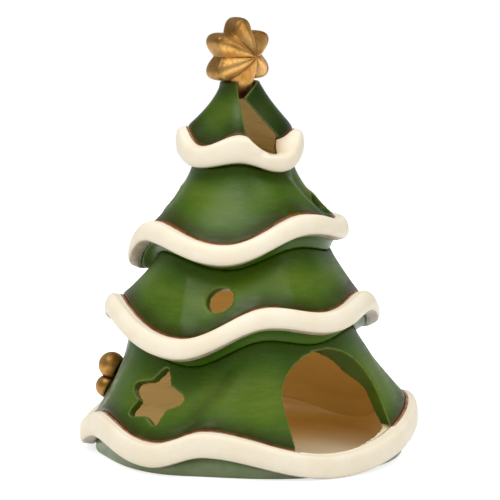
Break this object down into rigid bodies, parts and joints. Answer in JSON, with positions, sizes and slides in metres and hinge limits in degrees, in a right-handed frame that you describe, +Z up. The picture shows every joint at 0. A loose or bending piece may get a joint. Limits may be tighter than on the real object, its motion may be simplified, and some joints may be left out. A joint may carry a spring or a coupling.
{
  "type": "tealight holder",
  "caption": "Tree-shaped ceramic tealight holder: stacked hollow green skirts with wavy cream hems on a dish, an arched front opening, light cut-outs and a gold star on top.",
  "frame": {"origin": "middle of the flat underside", "axes": "+Z up through the star, -Y out of the front, where the arched opening is, and +X to the right of someone who faces the arch"},
  "size_m": [0.1535, 0.1547, 0.2],
  "materials": {
    "green_glaze": "satin green glaze with dark antique wash in the creases, unglazed tan inside",
    "cream_glaze": "satin cream glaze with a fine brown line along its edges",
    "gold_lustre": "satin antique gold lustre over ceramic"
  },
  "bodies": {
    "root": {"base_dish": "green_glaze", "skirt_bottom": "green_glaze", "hem_bottom": "cream_glaze", "skirt_lower_middle": "green_glaze", "hem_lower_middle": "cream_glaze", "skirt_upper_middle": "green_glaze", "hem_upper_middle": "cream_glaze", "cone_top": "green_glaze", "hem_top": "cream_glaze", "star_topper": "gold_lustre", "berry_upper": "gold_lustre", "berry_lower": "gold_lustre", "berry_rear": "gold_lustre"}
  },
  "joints": []
}
